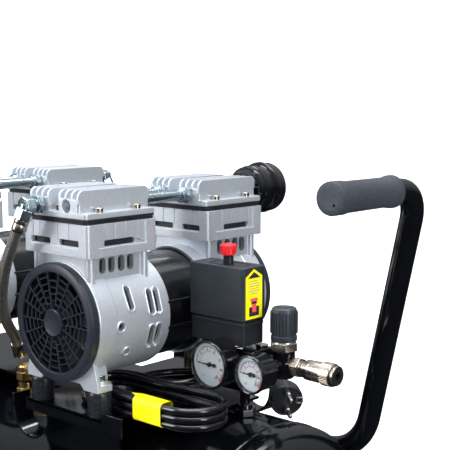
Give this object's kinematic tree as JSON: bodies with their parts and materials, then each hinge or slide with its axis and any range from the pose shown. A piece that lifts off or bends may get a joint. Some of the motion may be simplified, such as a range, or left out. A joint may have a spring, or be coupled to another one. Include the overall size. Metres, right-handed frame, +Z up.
{
  "type": "air compressor",
  "caption": "Wheeled workshop air compressor with oil-free piston motor pumps on a horizontal tank, with pressure switch, gauges, regulator, quick coupler and pull handle.",
  "frame": {"origin": "middle of the underside of the whole compressor without its mains cord, on the floor", "axes": "+X along the tank towards the handle and the air outlet, +Y along the pump shafts towards the side with the handle's lower run, +Z up"},
  "size_m": [0.8036, 0.383, 0.6584],
  "materials": {
    "cast_aluminium": "die-cast, satin",
    "black_paint": "glossy powder coat",
    "gauge_case": "gloss black case with a white dial",
    "black_plastic": "moulded, lightly grained",
    "black_rubber": "matt",
    "cord_rubber": "satin sheath",
    "wheel_rubber": "matt, moulded in one piece",
    "steel": "turned and ground",
    "stator_core": "varnished laminations",
    "zinc_plate": "bright zinc plate with a blue tint",
    "nickel_plate": "nickel plate",
    "braided_steel": "stainless braid",
    "brass": "machined",
    "red_plastic": "satin",
    "needle_black": "matt black"
  },
  "bodies": {
    "chassis": {"crankcase_front_a": "cast_aluminium", "fan_cover_front_a": "black_plastic", "cylinder_front_a": "cast_aluminium", "head_front_a": "cast_aluminium", "crankcase_rear_a": "cast_aluminium", "fan_cover_rear_a": "black_plastic", "cylinder_rear_a": "cast_aluminium", "head_rear_a": "cast_aluminium", "stator_a": "stator_core", "transfer_tube_left_a": "zinc_plate", "transfer_tube_right_a": "zinc_plate", "intake_filter_a": "black_plastic", "rubber_mounts_a": "black_rubber", "crankcase_front_b": "cast_aluminium", "fan_cover_front_b": "black_plastic", "cylinder_front_b": "cast_aluminium", "head_front_b": "cast_aluminium", "crankcase_rear_b": "cast_aluminium", "fan_cover_rear_b": "black_plastic", "cylinder_rear_b": "cast_aluminium", "head_rear_b": "cast_aluminium", "stator_b": "stator_core", "transfer_tube_left_b": "zinc_plate", "transfer_tube_right_b": "zinc_plate", "intake_filter_b": "black_plastic", "rubber_mounts_b": "black_rubber", "tank": "black_paint", "saddle": "black_paint", "axle": "black_paint", "front_foot": "black_paint", "foot_pad": "black_rubber", "handle_tube": "black_paint", "handle_grip": "black_rubber", "pressure_switch": "black_plastic", "manifold": "black_paint", "tank_gauge": "gauge_case", "outlet_gauge": "gauge_case", "regulator_body": "black_paint", "coupler_body": "nickel_plate", "hose_a": "braided_steel", "hose_b": "braided_steel", "check_valve": "brass", "cord_lead": "cord_rubber", "cord_hank": "cord_rubber", "cord_tail": "cord_rubber", "power_plug": "cord_rubber"},
    "wheel_left": {"wheel_left": "wheel_rubber"},
    "wheel_right": {"wheel_right": "wheel_rubber"},
    "rotor_a": {"rotor_a": "steel"},
    "rotor_b": {"rotor_b": "steel"},
    "piston_front_a": {"piston_front_a": "cast_aluminium"},
    "piston_rear_a": {"piston_rear_a": "cast_aluminium"},
    "piston_front_b": {"piston_front_b": "cast_aluminium"},
    "piston_rear_b": {"piston_rear_b": "cast_aluminium"},
    "switch_button": {"switch_button": "red_plastic"},
    "regulator_knob": {"regulator_knob": "black_plastic"},
    "coupler_sleeve": {"coupler_sleeve": "nickel_plate"},
    "tank_gauge_needle": {"tank_gauge_needle": "needle_black"},
    "outlet_gauge_needle": {"outlet_gauge_needle": "needle_black"},
    "drain_valve": {"drain_valve": "brass"}
  },
  "joints": [
    {"name": "wheel_left_spin", "type": "hinge", "parent": "chassis", "child": "wheel_left", "pos_m": [-0.2688, -0.165, 0.088], "axis": [0, 1, 0], "continuous": true},
    {"name": "wheel_right_spin", "type": "hinge", "parent": "chassis", "child": "wheel_right", "pos_m": [-0.2688, 0.165, 0.088], "axis": [0, 1, 0], "continuous": true},
    {"name": "rotor_a_spin", "type": "hinge", "parent": "chassis", "child": "rotor_a", "pos_m": [0.1192, 0, 0.503], "axis": [0, 1, 0], "continuous": true},
    {"name": "piston_front_a_pin", "type": "hinge", "parent": "rotor_a", "child": "piston_front_a", "pos_m": [0.1192, -0.088, 0.51], "axis": [0, 1, 0], "continuous": true},
    {"name": "piston_rear_a_pin", "type": "hinge", "parent": "rotor_a", "child": "piston_rear_a", "pos_m": [0.1192, 0.088, 0.496], "axis": [0, 1, 0], "continuous": true},
    {"name": "rotor_b_spin", "type": "hinge", "parent": "chassis", "child": "rotor_b", "pos_m": [-0.1558, 0, 0.503], "axis": [0, 1, 0], "continuous": true},
    {"name": "piston_front_b_pin", "type": "hinge", "parent": "rotor_b", "child": "piston_front_b", "pos_m": [-0.1558, 0.088, 0.51], "axis": [0, 1, 0], "continuous": true},
    {"name": "piston_rear_b_pin", "type": "hinge", "parent": "rotor_b", "child": "piston_rear_b", "pos_m": [-0.1558, -0.088, 0.496], "axis": [0, 1, 0], "continuous": true},
    {"name": "switch_press", "type": "slide", "parent": "chassis", "child": "switch_button", "axis": [0, 0, 1], "range_m": [-0.007, 0]},
    {"name": "regulator_turn", "type": "hinge", "parent": "chassis", "child": "regulator_knob", "pos_m": [0.2922, 0.028, 0.5], "axis": [0, 0, 1], "range_deg": [-720, 720]},
    {"name": "sleeve_pull", "type": "slide", "parent": "chassis", "child": "coupler_sleeve", "axis": [1, 0, 0], "range_m": [-0.004, 0], "stiffness_N_per_m": 1500, "springref_m": 0.002},
    {"name": "tank_needle_turn", "type": "hinge", "parent": "chassis", "child": "tank_gauge_needle", "pos_m": [0.2372, -0.03, 0.457], "axis": [0, 1, 0], "range_deg": [0, 230], "stiffness_Nm_per_rad": 0.0005, "springref_deg": -11.46},
    {"name": "outlet_needle_turn", "type": "hinge", "parent": "chassis", "child": "outlet_gauge_needle", "pos_m": [0.2922, -0.028, 0.456], "axis": [0, 1, 0], "range_deg": [0, 230], "stiffness_Nm_per_rad": 0.0005, "springref_deg": -11.46},
    {"name": "drain_turn", "type": "hinge", "parent": "chassis", "child": "drain_valve", "pos_m": [-0.0183, 0, 0.09], "axis": [0, 0, 1], "range_deg": [0, 720]}
  ],
  "couplings": [
    {"joint": "piston_front_a_pin", "follows": "rotor_a_spin", "ratio": -1},
    {"joint": "piston_rear_a_pin", "follows": "rotor_a_spin", "ratio": -1},
    {"joint": "piston_front_b_pin", "follows": "rotor_b_spin", "ratio": -1},
    {"joint": "piston_rear_b_pin", "follows": "rotor_b_spin", "ratio": -1}
  ]
}
